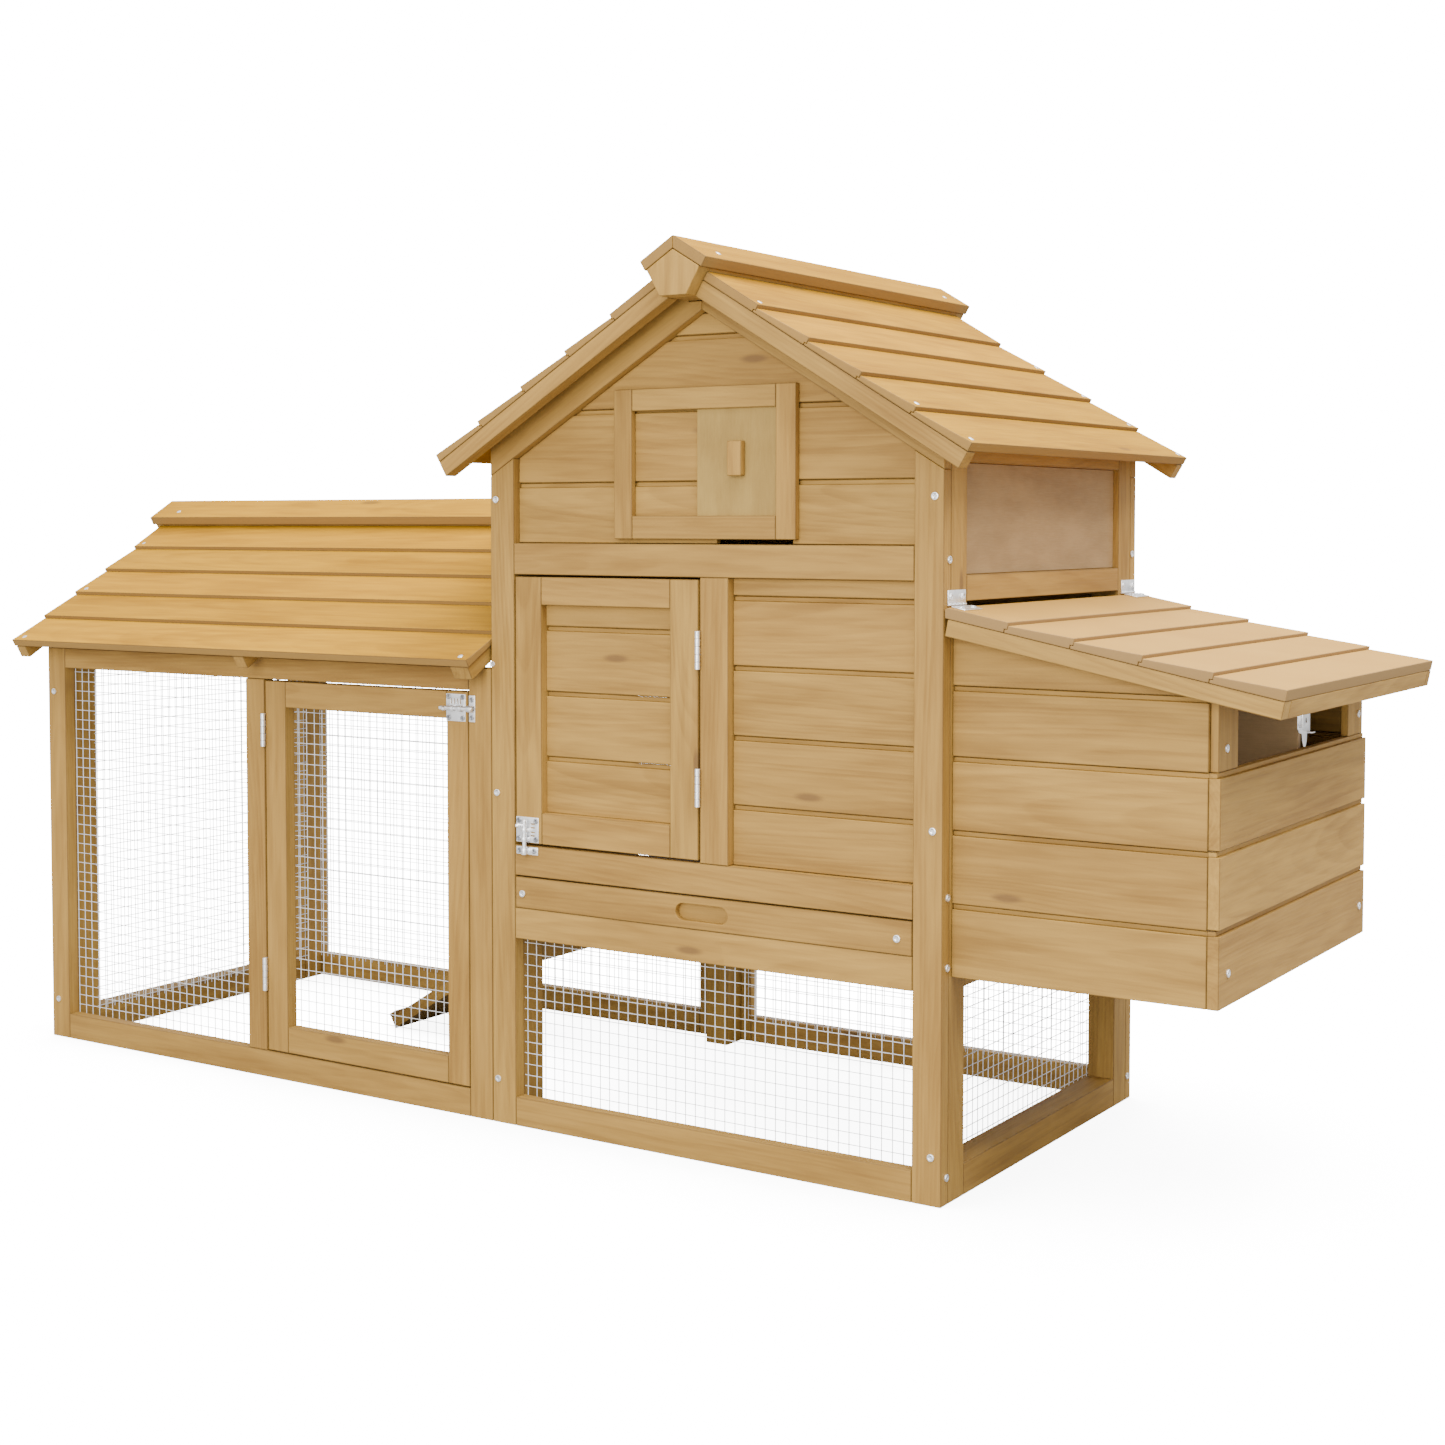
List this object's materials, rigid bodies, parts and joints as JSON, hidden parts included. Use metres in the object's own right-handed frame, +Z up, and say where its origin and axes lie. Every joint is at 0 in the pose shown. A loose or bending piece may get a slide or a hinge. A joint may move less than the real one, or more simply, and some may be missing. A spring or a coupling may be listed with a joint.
{
  "type": "chicken coop",
  "caption": "Raised wooden hen house with a gable roof, a low roofed wire run with a door on its left, a hinged nest box on its right, and a pull-out tray.",
  "frame": {"origin": "middle of the coop's bounding box on the ground that it stands on", "axes": "+X to the right along the front, from the run to the nest box; +Y from the front to the back; +Z up"},
  "size_m": [1.7252, 0.617, 0.997],
  "materials": {
    "pine": "clear-stained fir boards with fine straight grain, satin",
    "roof_pine": "golden-stained fir roof boards, satin",
    "plywood": "thin stained plywood with a mottled face, matt",
    "lid_board": "plain tan coated boards with no grain, matt",
    "galvanised_wire": "galvanised welded wire",
    "zinc_plate": "bright zinc-plated pressed sheet"
  },
  "bodies": {
    "coop": {"house_back_boards": "pine", "house_back_frame": "pine", "house_front_bottom_rail": "pine", "house_front_gable_boards": "pine", "house_front_lower_rail": "pine", "house_front_mid_rail": "pine", "house_front_mid_stile": "pine", "house_front_post_left": "pine", "house_front_post_right": "pine", "house_front_rakes": "pine", "house_front_sill_rail": "pine", "house_front_wall_boards": "pine", "house_left_boards": "pine", "house_left_frame": "pine", "house_mesh": "galvanised_wire", "house_rafter_back_left": "roof_pine", "house_rafter_back_right": "roof_pine", "house_rafter_front_left": "roof_pine", "house_rafter_front_right": "roof_pine", "house_ridge_beam": "roof_pine", "house_ridge_cap": "roof_pine", "house_right_frame": "pine", "house_right_panel": "plywood", "house_roof_left": "roof_pine", "house_roof_right": "roof_pine", "nest_back_wall": "pine", "nest_end_wall": "pine", "nest_floor": "pine", "nest_front_wall": "pine", "ramp": "pine", "run_back_frame": "pine", "run_front_frame": "pine", "run_left_frame": "pine", "run_mesh": "galvanised_wire", "run_rafters_left": "roof_pine", "run_rafters_middle": "roof_pine", "run_rafters_right": "roof_pine", "run_ridge_beam": "roof_pine", "run_ridge_cap": "roof_pine", "run_roof_back": "roof_pine", "run_roof_front": "roof_pine", "tray_runner_left": "pine", "tray_runner_right": "pine", "window_frame": "pine"},
    "run_door": {"run_door_frame": "pine", "run_door_mesh": "galvanised_wire", "run_door_hinge_lower": "zinc_plate", "run_door_hinge_upper": "zinc_plate"},
    "run_bolt": {"run_bolt": "zinc_plate"},
    "house_door": {"house_door_frame": "pine", "house_door_boards": "pine", "house_door_hinge_lower": "zinc_plate", "house_door_hinge_upper": "zinc_plate"},
    "house_bolt": {"house_bolt": "zinc_plate"},
    "tray": {"tray_front": "pine", "tray_pan": "zinc_plate"},
    "window_slide": {"window_slide": "plywood"},
    "nest_lid": {"nest_lid_frame": "pine", "nest_lid_boards": "lid_board"},
    "nest_latch": {"nest_latch": "zinc_plate"}
  },
  "joints": [
    {"name": "run_door_hinge", "type": "hinge", "parent": "coop", "child": "run_door", "pos_m": [-0.42917, -0.2559, 0.2845], "axis": [0, 0, -1], "range_deg": [0, 150]},
    {"name": "run_bolt_slide", "type": "slide", "parent": "run_door", "child": "run_bolt", "axis": [-1, 0, 0], "range_m": [0, 0.014]},
    {"name": "house_door_hinge", "type": "hinge", "parent": "coop", "child": "house_door", "pos_m": [0.21923, -0.2559, 0.484], "axis": [0, 0, 1], "range_deg": [0, 150]},
    {"name": "house_bolt_slide", "type": "slide", "parent": "house_door", "child": "house_bolt", "axis": [0, 0, 1], "range_m": [0, 0.014]},
    {"name": "tray_slide", "type": "slide", "parent": "coop", "child": "tray", "axis": [0, -1, 0], "range_m": [0, 0.4]},
    {"name": "window_slide_rail", "type": "slide", "parent": "coop", "child": "window_slide", "axis": [-1, 0, 0], "range_m": [0, 0.09]},
    {"name": "nest_lid_hinge", "type": "hinge", "parent": "coop", "child": "nest_lid", "pos_m": [0.51283, 0.00215, 0.6125], "axis": [0, -1, 0], "range_deg": [0, 75]},
    {"name": "nest_latch_hinge", "type": "hinge", "parent": "nest_lid", "child": "nest_latch", "pos_m": [0.79353, 0.0168, 0.5255], "axis": [0, -1, 0], "range_deg": [-20, 60]}
  ]
}
